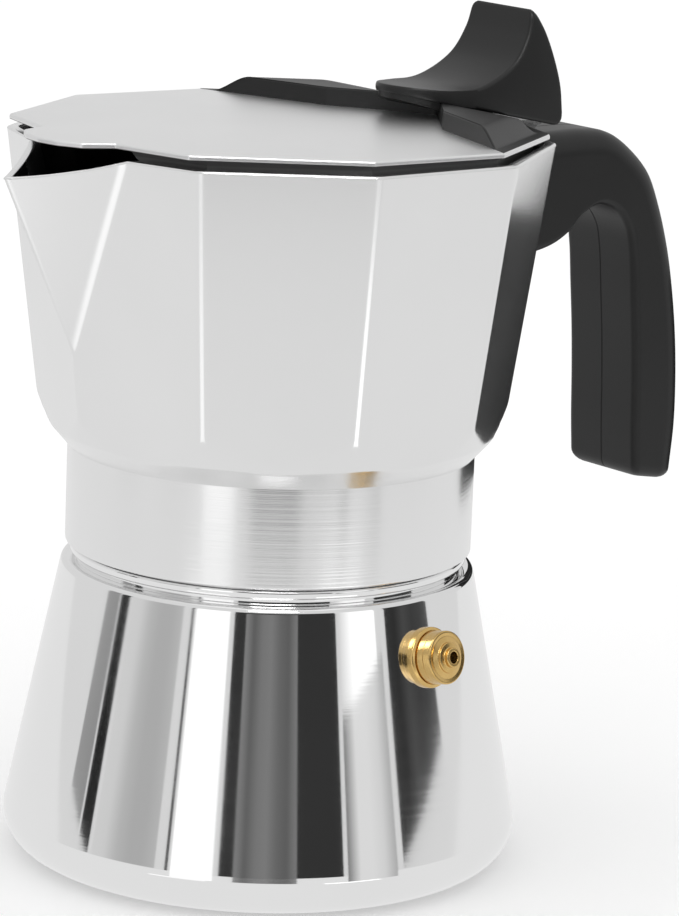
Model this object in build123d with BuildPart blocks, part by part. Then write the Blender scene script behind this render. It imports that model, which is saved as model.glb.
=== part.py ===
from build123d import *
from math import atan, cos, radians, sin, tan
import os

# Stovetop coffee maker, drawn standing on its base. Millimetres, +Z up.
# The origin is the centre of the flat underside. The handle points along +X and the spout along -X.

os.makedirs("parts", exist_ok=True)

# ---------------------------------------------------------------- driving dimensions
facet_count = 10

# boiler
boiler_foot_radius = 55.0
boiler_taper = 0.2034          # radius lost per mm of height
boiler_wall = 1.3
boiler_floor = 2.0
boiler_foot_round = 7.8
shoulder_z = 61.6
groove_radius = 39.6
groove_top_z = 62.8
bead_radius = 40.8
bead_top_z = 64.6
neck_radius = 37.5
neck_bore_radius = 35.0
neck_top_z = 75.0
thread_pitch = 3.2
thread_depth = 0.7
thread_clearance = 0.35

# safety valve, set square to the cone
valve_angle = -80.5
valve_height = 49.5
flange_radius = 6.15
flange_length = 1.5
barrel_radius = 5.4
barrel_length = 1.9
cap_length = 2.0
nozzle_radius = 3.1
nozzle_length = 1.7
nozzle_bore_radius = 1.4
shank_radius = 4.0
shank_length = 6.0
seat_bore_radius = 1.6
chamber_radius = 3.4
cap_wall = 0.8
washer_radius = 6.0
washer_thickness = 1.2
nut_radius = 5.6
nut_length = 2.4
free_fit = 0.1
close_fit = 0.02

# funnel
basket_radius = 34.3
basket_wall = 0.8
basket_floor_z = 50.0
basket_rim_radius = 36.6
basket_rim_thickness = 0.8
cone_bottom_z = 43.0
stem_radius = 5.0
stem_wall = 0.8
stem_bottom_z = 8.0

# seal between the two chambers
gasket_thickness = 3.0
gasket_radius = 36.9
gasket_bore_radius = 28.0
plate_radius = 30.5
plate_thickness = 0.8

# jug
collar_radius = 41.87
collar_bottom_z = 65.05
collar_top_z = 85.5
rim_z = 149.65
rim_corner_radius = 55.8
facet_taper = 0.1337
jug_wall = 2.3
jug_floor_z = 84.8
water_recess_z = 82.0
spout_tip = (-68.0, 145.3)
keel_foot = (-51.7, 111.2)
spout_root = (-49.2, 100.0)
spout_half_width = 16.4
spout_wall = 2.9

# riser column
column_radius = 8.0
column_top_radius = 6.2
column_top_z = 128.0
column_wall = 1.6

# lid and its hinge
lid_corners = ((0.0, 54.4), (36.3, 54.3), (72.0, 52.7), (108.0, 52.7), (146.6, 55.2))  # angle, radius
lid_bottom_z = 150.9
lid_thickness = 1.1
lid_tilt = 0.65
skirt_corner_radius = 51.0
skirt_thickness = 1.2
skirt_depth = 3.0
hinge_x = 63.0
hinge_z = 151.6
hinge_pin_radius = 1.25
hinge_eye_radius = 3.0
running_clearance = 0.05
web_half_width = 3.0
ear_inner_y = 3.3
ear_outer_y = 6.0

# knob
knob_half_width = 11.0
knob_front_x = 26.0
knob_shoulder_x = 42.0
knob_back_x = 65.9
knob_back_bottom_z = 148.9
knob_slope = 0.205
knob_plate_thickness = 1.7
knob_pocket_half_width = 6.4
saddle_slope = 0.19
saddle_height = 3.9
saddle_inset = 0.3
saddle_front = ((16.3, 50.1), (26.0, 19.2), (35.9, 6.1), (40.5, 0.0))
knob_screw_x = 43.6
knob_screw_spots = ((knob_screw_x, -5.0), (knob_screw_x, 5.0))
knob_screw_radius = 1.7
knob_screw_head_radius = 3.2
knob_screw_head_height = 2.0
knob_screw_tip_z = 156.8

# handle
handle_half_width = 11.0
handle_top_z = 147.5
handle_edge_round = 4.2
bracket_half_width = 3.5
bracket_end_x = 69.0
bracket_bottom_z = 127.5
bracket_top_z = 140.5
handle_screw_spots = ((64.0, 134.0), (94.8, 118.0), (98.2, 82.0))
handle_screw_radius = 1.9
handle_screw_head_radius = 3.6
handle_screw_seat_y = 8.0
handle_screw_length = 15.0
handle_screw_slot = (4.2, 0.9)
fit_gap = 0.2
under_lid_z = 140.0              # level below the lid where upright cuts start


def jug_corner_radius(z):
    return rim_corner_radius - facet_taper * (rim_z - z)


def boiler_radius(z):
    return boiler_foot_radius - boiler_taper * z


def nearest(points, x, y):
    return points.sort_by_distance(Vector(x, y, 0))[0]


def finish(builder, name):
    builder.part.label = name
    export_step(builder.part, f"parts/{name}.step")


# ---------------------------------------------------------------- boiler
valve_wall_radius = boiler_radius(valve_height)
valve_tilt = atan(boiler_taper)
valve_azimuth = radians(valve_angle)
valve_direction = Vector(
    cos(valve_azimuth) * cos(valve_tilt),
    sin(valve_azimuth) * cos(valve_tilt),
    sin(valve_tilt),
)
valve_plane = Plane(
    origin=(valve_wall_radius * cos(valve_azimuth), valve_wall_radius * sin(valve_azimuth), valve_height),
    z_dir=valve_direction,
)
spot_face_depth = 0.3

with BuildPart() as boiler:
    with BuildSketch(Plane.XZ) as boiler_section:
        with BuildLine():
            Polyline(
                (0, 0),
                (boiler_radius(0), 0),
                (boiler_radius(shoulder_z), shoulder_z),
                (groove_radius, shoulder_z),
                (groove_radius, groove_top_z),
                (bead_radius, groove_top_z),
                (bead_radius, bead_top_z),
                (neck_radius, bead_top_z),
                (neck_radius, neck_top_z),
                (neck_bore_radius, neck_top_z),
                (neck_bore_radius, groove_top_z),
                (boiler_radius(shoulder_z - 3) - boiler_wall, shoulder_z - 3),
                (boiler_radius(boiler_floor) - boiler_wall, boiler_floor),
                (0, boiler_floor),
                close=True,
            )
        make_face()
        corners = boiler_section.vertices()
        fillet(nearest(corners, boiler_radius(0), 0), boiler_foot_round)
        fillet(nearest(corners, boiler_radius(boiler_floor) - boiler_wall, boiler_floor), 5.5)
        fillet(nearest(corners, boiler_radius(shoulder_z), shoulder_z), 1.4)
        fillet(nearest(corners, bead_radius, groove_top_z), 0.5)
        fillet(nearest(corners, bead_radius, bead_top_z), 0.5)
    revolve(axis=Axis.Z)
    # ring grooves stand for the screw thread
    with BuildSketch(Plane.XZ):
        groove_z = bead_top_z + thread_pitch * 0.6
        while groove_z < neck_top_z - thread_pitch * 0.3:
            with Locations((neck_radius, groove_z)):
                Rectangle(2 * thread_depth, thread_pitch * 0.45)
            groove_z += thread_pitch
    revolve(axis=Axis.Z, mode=Mode.SUBTRACT)
    # spot face and hole for the valve
    with BuildSketch(valve_plane.offset(-spot_face_depth)):
        Circle(flange_radius + 0.2)
    extrude(amount=5, mode=Mode.SUBTRACT)
    with BuildSketch(valve_plane.offset(-8)):
        Circle(shank_radius + free_fit)
    extrude(amount=10, mode=Mode.SUBTRACT)
finish(boiler, "boiler")

# ---------------------------------------------------------------- safety valve
flange_base = -spot_face_depth
flange_end = flange_base + flange_length
barrel_end = flange_end + barrel_length
cap_end = barrel_end + cap_length
seat_depth = 0.2
poppet_thickness = 1.0
spring_wire_radius = 0.25
spring_radius = 2.4


def valve_ring(start, end, outer, inner=0.0):
    """Adds a disc or ring square to the valve's axis, from start to end along it."""
    with BuildSketch(valve_plane.offset(start)) as ring:
        Circle(outer)
        if inner:
            Circle(inner, mode=Mode.SUBTRACT)
    extrude(ring.sketch, amount=end - start)


with BuildPart() as valve_body:
    valve_ring(-shank_length, flange_base, shank_radius, seat_bore_radius)
    valve_ring(flange_base, seat_depth, flange_radius, seat_bore_radius)
    valve_ring(seat_depth, flange_end, flange_radius, chamber_radius)
    valve_ring(flange_end, barrel_end, barrel_radius, chamber_radius)
finish(valve_body, "valve_body")

with BuildPart() as valve_cap:
    valve_ring(barrel_end, cap_end - cap_wall, barrel_radius, chamber_radius)
    valve_ring(cap_end - cap_wall, cap_end, barrel_radius, nozzle_bore_radius)
    valve_ring(cap_end, cap_end + nozzle_length, nozzle_radius, nozzle_bore_radius)
    outer_rims = valve_cap.edges().filter_by(GeomType.CIRCLE)
    chamfer([rim for rim in outer_rims if abs(rim.radius - nozzle_radius) < 0.01][-1:], 0.4)
finish(valve_cap, "valve_cap")

with BuildPart() as valve_poppet:
    valve_ring(seat_depth, seat_depth + poppet_thickness, chamber_radius - 0.3)
    valve_ring(seat_depth + poppet_thickness, cap_end - 2 * cap_wall, nozzle_bore_radius - 0.3)
finish(valve_poppet, "valve_poppet")

spring_start = seat_depth + poppet_thickness + spring_wire_radius
spring_end = cap_end - cap_wall - spring_wire_radius
spring_length = spring_end - spring_start
spring_turns = 2.5
with BuildPart() as valve_spring:
    with BuildLine() as spring_path:
        Helix(
            pitch=spring_length / spring_turns,
            height=spring_length,
            radius=spring_radius,
            center=valve_plane.offset(spring_start).origin,
            direction=valve_direction,
        )
    with BuildSketch(spring_path.line ^ 0):
        Circle(spring_wire_radius)
    sweep(path=spring_path.line, is_frenet=True)
finish(valve_spring, "valve_spring")

# the inside of the wall lies between 0.7 and 1.5 mm behind the spot face
washer_start = -1.9
with BuildPart() as valve_washer:
    valve_ring(washer_start - washer_thickness, washer_start, washer_radius, shank_radius + free_fit)
finish(valve_washer, "valve_washer")

with BuildPart() as valve_nut:
    with BuildSketch(valve_plane.offset(washer_start - washer_thickness)):
        RegularPolygon(nut_radius, 6)
        Circle(shank_radius + close_fit, mode=Mode.SUBTRACT)
    extrude(amount=-nut_length)
finish(valve_nut, "valve_nut")

# ---------------------------------------------------------------- funnel
with BuildPart() as funnel:
    with BuildSketch(Plane.XZ):
        with BuildLine():
            Polyline(
                (stem_radius - stem_wall, stem_bottom_z),
                (stem_radius, stem_bottom_z),
                (stem_radius, cone_bottom_z),
                (basket_radius, basket_floor_z - 1.0),
                (basket_radius, neck_top_z),
                (basket_rim_radius, neck_top_z),
                (basket_rim_radius, neck_top_z + basket_rim_thickness),
                (basket_radius - basket_wall, neck_top_z + basket_rim_thickness),
                (basket_radius - basket_wall, basket_floor_z),
                (basket_radius - 2.6, basket_floor_z),
                (basket_radius - 2.6, basket_floor_z - 0.4),
                (stem_radius - stem_wall, cone_bottom_z + 0.6),
                close=True,
            )
        make_face()
    revolve(axis=Axis.Z)
finish(funnel, "funnel")


def perforations(hole_radius, spacing, rings):
    """Holes on concentric circles, six more on each circle than on the last."""
    Circle(hole_radius, mode=Mode.SUBTRACT)
    for ring in range(1, rings + 1):
        with PolarLocations(ring * spacing, 6 * ring):
            Circle(hole_radius, mode=Mode.SUBTRACT)


with BuildPart() as funnel_strainer:
    with BuildSketch(Plane.XY.offset(basket_floor_z)):
        Circle(basket_radius - basket_wall - 0.1)
        perforations(0.9, 5.8, 5)
    extrude(amount=0.8)
finish(funnel_strainer, "funnel_strainer")

# ---------------------------------------------------------------- gasket and filter plate
gasket_bottom_z = neck_top_z + basket_rim_thickness
gasket_top_z = gasket_bottom_z + gasket_thickness
with BuildPart() as gasket:
    with BuildSketch(Plane.XY.offset(gasket_bottom_z)):
        Circle(gasket_radius)
        Circle(gasket_bore_radius, mode=Mode.SUBTRACT)
    extrude(amount=gasket_thickness)
finish(gasket, "gasket")

with BuildPart() as filter_plate:
    with BuildSketch(Plane.XY.offset(gasket_top_z)):
        Circle(plate_radius)
        perforations(0.6, 4.4, 6)
    extrude(amount=plate_thickness)
finish(filter_plate, "filter_plate")

# ---------------------------------------------------------------- jug
jug_base_z = 80.0
flare_end_z = 101.0


def faceted_shell(inset, bottom_z, top_z):
    """Adds the ten-sided tapered form, its flats moved in by inset, between two heights."""
    corner_inset = inset / cos(radians(180 / facet_count))
    sections = []
    for level in (bottom_z, top_z):
        with BuildSketch(Plane.XY.offset(level)) as section:
            RegularPolygon(jug_corner_radius(level) - corner_inset, facet_count)
        sections.append(section.sketch)
    loft(sections, ruled=True)


def flared_limit(inset, bottom_z, top_z):
    """Keeps only what lies inside the flare that joins the round collar to the flats."""
    with BuildSketch(Plane.XZ) as limit:
        with BuildLine():
            flare = Spline(
                (collar_radius - inset, collar_top_z),
                (45.7 - inset, 89.8),
                (48.7 - inset, 95.8),
                (50.6 - inset, flare_end_z),
                tangents=[(0, 1), (0.3, 1)],
            )
            Polyline(
                flare @ 1,
                (62, flare_end_z),
                (62, top_z + 1),
                (0, top_z + 1),
                (0, bottom_z),
                (collar_radius - inset, bottom_z),
                flare @ 0,
            )
        make_face()
    revolve(limit.sketch, axis=Axis.Z, mode=Mode.INTERSECT)


def spout_wedge(inset, top_z):
    """Adds the keeled prow in two ruled stages, its tip drawn back by inset."""
    root_x, root_z = spout_root
    foot_x, foot_z = keel_foot
    tip_x, tip_z = spout_tip
    lean = (tip_x - foot_x) / (tip_z - foot_z)
    stages = (
        (root_x + inset, root_z),
        (foot_x + inset, foot_z),
        (foot_x + lean * (top_z - foot_z) + inset, top_z),
    )
    for lower, upper in zip(stages, stages[1:]):
        sections = []
        for keel_x, level in (lower, upper):
            share = (level - root_z) / (rim_z - root_z)
            half = max(spout_half_width * share - 0.6 * inset, 0.3)
            flat_x = -jug_corner_radius(level) + half * tan(radians(18)) + inset
            with BuildSketch(Plane.XY.offset(level)) as section:
                with BuildLine():
                    Polyline(
                        (-40, half),
                        (flat_x, half),
                        (min(keel_x, flat_x - 0.2), 0),
                        (flat_x, -half),
                        (-40, -half),
                        close=True,
                    )
                make_face()
            sections.append(section.sketch)
        loft(sections, ruled=True)


with BuildPart() as chamber_hollow:
    faceted_shell(jug_wall, jug_floor_z, rim_z + 2)
    flared_limit(jug_wall, jug_floor_z, rim_z + 2)
    spout_wedge(spout_wall, rim_z + 2)

with BuildPart() as upper_chamber:
    faceted_shell(0, jug_base_z, rim_z)
    flared_limit(0, jug_base_z, rim_z)
    spout_wedge(0, rim_z)
    # handle bracket on the corner opposite the spout
    with BuildSketch(Plane.XZ.offset(-bracket_half_width)):
        with BuildLine():
            Polyline(
                (46, bracket_bottom_z),
                (bracket_end_x, bracket_bottom_z),
                (bracket_end_x, bracket_top_z),
                (46, bracket_top_z),
                close=True,
            )
        make_face()
    extrude(amount=2 * bracket_half_width)
    add(chamber_hollow.part, mode=Mode.SUBTRACT)
    # the lip falls from the rim to the spout's tip
    with BuildSketch(Plane.XZ.offset(-30)):
        with BuildLine():
            lip = Spline(
                (-50.5, rim_z),
                (-56.3, 147.4),
                (-61.8, 145.9),
                (-68.5, 145.2),
                tangents=[(-1, -0.25), (-1, 0)],
            )
            Polyline(lip @ 1, (-80, 145.2), (-80, 160), (-50.5, 160), lip @ 0)
        make_face()
    extrude(amount=60, mode=Mode.SUBTRACT)
    # collar, floor, thread and the seat for the gasket
    with BuildSketch(Plane.XZ):
        with BuildLine():
            Polyline(
                (0, water_recess_z),
                (plate_radius + 0.5, water_recess_z),
                (plate_radius + 0.5, gasket_top_z),
                (neck_radius + thread_clearance, gasket_top_z),
                (neck_radius + thread_clearance, collar_bottom_z),
                (collar_radius, collar_bottom_z),
                (collar_radius, jug_floor_z),
                (0, jug_floor_z),
                close=True,
            )
        make_face()
    revolve(axis=Axis.Z)
    with BuildSketch(Plane.XZ):
        groove_z = collar_bottom_z + thread_pitch * 0.7
        while groove_z < gasket_top_z - thread_pitch:
            with Locations((neck_radius + thread_clearance, groove_z)):
                Rectangle(2 * thread_depth, thread_pitch * 0.45)
            groove_z += thread_pitch
    revolve(axis=Axis.Z, mode=Mode.SUBTRACT)
    with BuildSketch(Plane.XY.offset(jug_base_z)):
        Circle(column_radius - column_wall)
    extrude(amount=10, mode=Mode.SUBTRACT)
    # hinge post that stands up from the bracket
    with BuildSketch(Plane.XZ.offset(-web_half_width)):
        with Locations((hinge_x, hinge_z)):
            Circle(hinge_eye_radius)
        with Locations((hinge_x, (bracket_top_z + hinge_z) / 2)):
            Rectangle(2 * hinge_eye_radius, hinge_z - bracket_top_z)
        with Locations((hinge_x, hinge_z)):
            Circle(hinge_pin_radius, mode=Mode.SUBTRACT)
    extrude(amount=2 * web_half_width)
    with BuildSketch(Plane.XZ.offset(-20)):
        with Locations(handle_screw_spots[0]):
            Circle(handle_screw_radius + fit_gap)
    extrude(amount=40, mode=Mode.SUBTRACT)
finish(upper_chamber, "upper_chamber")

with BuildPart() as riser_column:
    with BuildSketch(Plane.XZ):
        with BuildLine():
            Polyline(
                (column_radius - column_wall, jug_floor_z),
                (column_radius, jug_floor_z),
                (column_top_radius, column_top_z),
                (0, column_top_z + 1.5),
                (0, column_top_z - 0.5),
                (column_top_radius - column_wall, column_top_z - 2),
                close=True,
            )
        make_face()
    revolve(axis=Axis.Z)
    # two outlets below the closed top
    with BuildSketch(Plane.YZ.offset(-20)):
        with Locations((0, column_top_z - 5)):
            SlotOverall(7, 3.2, rotation=90)
    extrude(amount=40, mode=Mode.SUBTRACT)
finish(riser_column, "riser_column")

with BuildPart() as hinge_pin:
    with BuildSketch(Plane.XZ.offset(-ear_outer_y)):
        with Locations((hinge_x, hinge_z)):
            Circle(hinge_pin_radius)
    extrude(amount=2 * ear_outer_y)
finish(hinge_pin, "hinge_pin")

# ---------------------------------------------------------------- lid
lean = radians(lid_tilt)
lid_plane = Plane(origin=(0, 0, lid_bottom_z), x_dir=(cos(lean), 0, -sin(lean)), z_dir=(sin(lean), 0, cos(lean)))
half_sector = 180 / facet_count


def lid_corner_points(inset=0.0):
    """The lid's nine corners from the +Y side round the back to the -Y side, each drawn in by inset."""
    rear = [((radius - inset) * cos(radians(angle)), (radius - inset) * sin(radians(angle)))
            for angle, radius in lid_corners]
    return rear[:0:-1] + [(x, -y) for x, y in rear]


def ring_of_flats(outer_corner, thickness):
    RegularPolygon(outer_corner, facet_count)
    RegularPolygon(outer_corner - thickness, facet_count, mode=Mode.SUBTRACT)


with BuildPart() as lid:
    with BuildSketch(lid_plane):
        with BuildLine():
            Polyline(
                (-50.4, -12.5),
                (-56.5, -10.0),
                (-59.3, -5.0),
                (-60.0, 0),
                (-59.3, 5.0),
                (-56.5, 10.0),
                (-50.4, 12.5),
                *lid_corner_points(),
                close=True,
            )
        make_face()
    extrude(amount=lid_thickness)
    # skirt that drops into the mouth, open towards the spout
    with BuildSketch(lid_plane):
        ring_of_flats(skirt_corner_radius, skirt_thickness)
        with Locations((-skirt_corner_radius, 0)):
            Rectangle(16, 30, mode=Mode.SUBTRACT)
    extrude(amount=-skirt_depth)
    # two hinge ears behind the corner
    for side in (1, -1):
        near_y = min(side * ear_inner_y, side * ear_outer_y)
        with BuildSketch(Plane.XZ.offset(-near_y)):
            with Locations((hinge_x, hinge_z)):
                Circle(hinge_eye_radius - 0.2)
            with BuildLine():
                Polyline(
                    (48.0, 151.0),
                    (hinge_x, 150.2),
                    (hinge_x, 154.0),
                    (48.0, 153.0),
                    close=True,
                )
            make_face()
            with Locations((hinge_x, hinge_z)):
                Circle(hinge_pin_radius + running_clearance, mode=Mode.SUBTRACT)
        extrude(amount=-(ear_outer_y - ear_inner_y))
    with BuildSketch(lid_plane.offset(-1)):
        with Locations(*knob_screw_spots):
            Circle(knob_screw_radius + fit_gap)
    extrude(amount=10, mode=Mode.SUBTRACT)
finish(lid, "lid")


def knob_bottom_z(x):
    return knob_back_bottom_z + knob_slope * (knob_back_x - x)


def knob_outline(inset):
    """Plan of the knob: straight sides, square back and a front drawn as half an ellipse."""
    half = knob_half_width - inset
    length = knob_shoulder_x - knob_front_x - inset
    with Locations((knob_shoulder_x, 0)):
        Ellipse(length, half)
    with Locations(((knob_shoulder_x + knob_back_x) / 2 + 2, 0)):
        Rectangle(knob_back_x - knob_shoulder_x + 4, 2 * half)


def hinge_pocket():
    """Clears the hinge post and the ears through the full swing of the lid."""
    with BuildSketch(Plane.XZ.offset(-knob_pocket_half_width)) as pocket:
        with BuildLine():
            Polyline(
                (47.0, 145.0),
                (47.0, 153.6),
                (57.0, 155.4),
                (75.0, 155.4),
                (75.0, 145.0),
                close=True,
            )
        make_face()
    extrude(pocket.sketch, amount=2 * knob_pocket_half_width, mode=Mode.SUBTRACT)


with BuildPart() as knob:
    with BuildSketch(Plane.XZ.offset(-knob_half_width)) as knob_side:
        with BuildLine():
            scoop = Spline(
                (25.0, 158.7),
                (36.0, 157.9),
                (44.0, 158.6),
                (51.8, 162.6),
                (55.6, 168.0),
                (57.0, 173.7),
                tangents=[(1, -0.05), (0.1, 1)],
            )
            back = Spline(
                (58.2, 173.4),
                (60.9, 169.0),
                (63.2, 163.6),
                (65.1, 157.5),
                (knob_back_x, 152.0),
                tangents=[(0.6, -1), (0, -1)],
            )
            Line(scoop @ 1, back @ 0)
            Polyline(
                back @ 1,
                (knob_back_x, knob_bottom_z(knob_back_x)),
                (25.0, knob_bottom_z(25.0)),
                scoop @ 0,
            )
        make_face()
        fillet(nearest(knob_side.vertices(), knob_back_x, knob_bottom_z(knob_back_x)), 2.0)
    extrude(amount=2 * knob_half_width)
    with BuildSketch(Plane.XY.offset(under_lid_z)):
        knob_outline(0)
    extrude(amount=50, mode=Mode.INTERSECT)
    hinge_pocket()
    with BuildSketch(Plane.XY.offset(under_lid_z)):
        with Locations(*knob_screw_spots):
            Circle(knob_screw_radius + close_fit)
    extrude(amount=knob_screw_tip_z + 0.3 - under_lid_z, mode=Mode.SUBTRACT)
    add(lid.part, mode=Mode.SUBTRACT)
finish(knob, "knob")

plate_back_x = 47.0
with BuildPart() as knob_plate:
    with BuildSketch(Plane.XZ.offset(-knob_half_width)):
        with BuildLine():
            Polyline(
                (25.0, knob_bottom_z(25.0)),
                (plate_back_x, knob_bottom_z(plate_back_x)),
                (plate_back_x, knob_bottom_z(plate_back_x) - 0.6),
                (34.0, knob_bottom_z(34.0) - knob_plate_thickness),
                (25.0, knob_bottom_z(25.0) - 0.9),
                close=True,
            )
        make_face()
    extrude(amount=2 * knob_half_width)
    with BuildSketch(Plane.XY.offset(under_lid_z)):
        knob_outline(0.7)
    extrude(amount=50, mode=Mode.INTERSECT)
    with BuildSketch(Plane.XY.offset(under_lid_z)):
        with Locations(*knob_screw_spots):
            Circle(knob_screw_radius + fit_gap)
    extrude(amount=30, mode=Mode.SUBTRACT)
finish(knob_plate, "knob_plate")

# black cover over the rear of the lid: a low roof on the lid's outline with a stepped front edge
roof_cut_end_x = 70.0
saddle_run = saddle_height / saddle_slope / cos(radians(half_sector))
with BuildPart() as lid_saddle:
    for level, inset in ((lid_thickness, saddle_inset), (lid_thickness + saddle_height, saddle_inset + saddle_run)):
        with BuildSketch(lid_plane.offset(level)):
            with BuildLine():
                Polyline(*lid_corner_points(inset), close=True)
            make_face()
    loft(ruled=True)
    with BuildSketch(Plane.XY.offset(under_lid_z)):
        with BuildLine():
            Polyline(
                (70, -55),
                (saddle_front[0][0], -55),
                *[(x, -y) for x, y in saddle_front],
                *saddle_front[-2::-1],
                (saddle_front[0][0], 55),
                (70, 55),
                close=True,
            )
        make_face()
    extrude(amount=30, mode=Mode.INTERSECT)
    # the roof goes no higher than the plane of the knob's underside
    with BuildSketch(Plane.XZ):
        with BuildLine():
            Polyline(
                (0, knob_bottom_z(0)),
                (roof_cut_end_x, knob_bottom_z(roof_cut_end_x)),
                (roof_cut_end_x, handle_top_z + 30),
                (0, handle_top_z + 30),
                close=True,
            )
        make_face()
    extrude(amount=60, both=True, mode=Mode.SUBTRACT)
    add(knob.part, mode=Mode.SUBTRACT)
    add(knob_plate.part, mode=Mode.SUBTRACT)
    hinge_pocket()
    add(lid.part, mode=Mode.SUBTRACT)
    with BuildSketch(Plane.XY.offset(under_lid_z)):
        with Locations(*knob_screw_spots):
            Circle(knob_screw_radius + fit_gap)
    extrude(amount=30, mode=Mode.SUBTRACT)
finish(lid_saddle, "lid_saddle")

with BuildPart() as knob_screws:
    head_top = lid_bottom_z - knob_screw_x * sin(lean)
    with BuildSketch(Plane.XY.offset(head_top - knob_screw_head_height)):
        with Locations(*knob_screw_spots):
            Circle(knob_screw_head_radius)
    extrude(amount=knob_screw_head_height - 0.05)
    with BuildSketch(Plane.XY.offset(head_top - 0.05)):
        with Locations(*knob_screw_spots):
            Circle(knob_screw_radius)
    extrude(amount=knob_screw_tip_z - head_top)
finish(knob_screws, "knob_screws")

# ---------------------------------------------------------------- handle
with BuildPart() as jug_blank:
    faceted_shell(0, jug_base_z, rim_z + 5)


def handle_half(side):
    """One half of the handle: its side view thickened from the middle plane, then rounded."""
    with BuildSketch(Plane.XZ) as outline:
        with BuildLine():
            arch = Spline(
                (62.0, 122.0),
                (68.8, 125.2),
                (72.4, 129.2),
                (77.8, 131.4),
                (83.4, 129.6),
                (86.8, 125.0),
                (88.2, 119.0),
                tangents=[(1, 0), (0.14, -1)],
            )
            crown = Spline(
                (105.6, 84.0),
                (105.0, 95.0),
                (103.2, 109.0),
                (99.6, 123.0),
                (94.6, 135.8),
                (86.6, 143.8),
                (78.0, 147.1),
                (70.0, handle_top_z),
                tangents=[(0, 1), (-1, 0)],
            )
            Polyline((46.0, 122.0), arch @ 0)
            Polyline(
                arch @ 1,
                (91.6, 73.0),
                (101.2, 68.4),
                (105.2, 72.8),
                crown @ 0,
            )
            Polyline(crown @ 1, (60.0, 147.0), (46.0, 147.0), (46.0, 122.0))
        make_face()
        fillet(nearest(outline.vertices(), 91.6, 73.0), 2.0)
    extrude(outline.sketch, amount=-side * handle_half_width)
    face_axis = Axis((0, 0, 0), (0, side, 0))
    outer_face = faces().sort_by(face_axis)[-1]
    long_edges = outer_face.edges().filter_by(lambda edge: edge.center().X > 63.0)
    fillet(long_edges, handle_edge_round)
    add(jug_blank.part, mode=Mode.SUBTRACT)


def handle_cavity():
    """Space for the jug's bracket and hinge post between the two halves."""
    with BuildSketch(Plane.XZ.offset(-bracket_half_width - fit_gap)) as cavity:
        with Locations(((46 + bracket_end_x) / 2, (bracket_bottom_z + bracket_top_z) / 2)):
            Rectangle(bracket_end_x - 46 + 2 * fit_gap, bracket_top_z - bracket_bottom_z + 2 * fit_gap)
        with Locations((hinge_x, 146)):
            Rectangle(2 * hinge_eye_radius + 2 * fit_gap, 14)
    extrude(cavity.sketch, amount=2 * (bracket_half_width + fit_gap), mode=Mode.SUBTRACT)


with BuildPart() as handle_left:
    handle_half(-1)
    handle_cavity()
    with BuildSketch(Plane.XZ):
        with Locations(*handle_screw_spots):
            Circle(handle_screw_radius + close_fit)
    extrude(amount=7.5, mode=Mode.SUBTRACT)
finish(handle_left, "handle_left")

with BuildPart() as handle_right:
    handle_half(1)
    handle_cavity()
    with BuildSketch(Plane.XZ):
        with Locations(*handle_screw_spots):
            Circle(handle_screw_radius + fit_gap)
    extrude(amount=-30, mode=Mode.SUBTRACT)
    with BuildSketch(Plane.XZ.offset(-handle_screw_seat_y)):
        with Locations(*handle_screw_spots):
            Circle(handle_screw_head_radius + fit_gap)
    extrude(amount=-10, mode=Mode.SUBTRACT)
finish(handle_right, "handle_right")

with BuildPart() as handle_screws:
    with BuildSketch(Plane.XZ.offset(handle_screw_length - handle_screw_seat_y)):
        with Locations(*handle_screw_spots):
            Circle(handle_screw_radius)
    extrude(amount=-handle_screw_length)
    with BuildSketch(Plane.XZ.offset(-handle_screw_seat_y)):
        with Locations(*handle_screw_spots):
            Circle(handle_screw_head_radius)
    extrude(amount=-2.2)
    with BuildSketch(Plane.XZ.offset(-9.0)):
        with Locations(*handle_screw_spots):
            Rectangle(*handle_screw_slot)
            Rectangle(*handle_screw_slot[::-1])
    extrude(amount=-5, mode=Mode.SUBTRACT)
finish(handle_screws, "handle_screws")
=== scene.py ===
from math import cos, pi, radians, sin, tan

import bmesh
import bpy
import numpy as np
from mathutils import Matrix, Vector


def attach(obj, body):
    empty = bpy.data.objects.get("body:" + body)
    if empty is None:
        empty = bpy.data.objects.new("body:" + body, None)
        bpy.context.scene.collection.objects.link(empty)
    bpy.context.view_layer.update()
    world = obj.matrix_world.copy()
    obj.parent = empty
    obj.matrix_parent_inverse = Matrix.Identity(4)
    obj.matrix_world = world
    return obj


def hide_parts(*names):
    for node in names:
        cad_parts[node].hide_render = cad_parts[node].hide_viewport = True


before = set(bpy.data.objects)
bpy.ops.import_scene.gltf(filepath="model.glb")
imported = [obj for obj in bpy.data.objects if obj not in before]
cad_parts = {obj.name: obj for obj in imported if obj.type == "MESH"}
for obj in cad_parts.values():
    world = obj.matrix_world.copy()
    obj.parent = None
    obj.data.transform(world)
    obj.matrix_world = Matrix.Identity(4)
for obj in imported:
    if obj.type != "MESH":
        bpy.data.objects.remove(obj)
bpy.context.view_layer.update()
print("frame loaded")

mm = 0.001  # every shape below is drawn in millimetres


# ---- shapes: points on a grid, worked out as whole arrays

def softMin(a, b, soft):
    # the lower of two values, with the place where they meet rounded over a band as wide as soft
    return np.minimum(a, b) - np.maximum(soft - np.abs(a - b), 0) ** 2 / (4 * soft)


def softMax(a, b, soft):
    return -softMin(-a, -b, soft)


def smoothStep(value):
    # runs from 0 to 1 with level ends: 3 v squared less 2 v cubed
    v = np.clip(value, 0, 1)
    return v * v * (3 - 2 * v)


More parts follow.
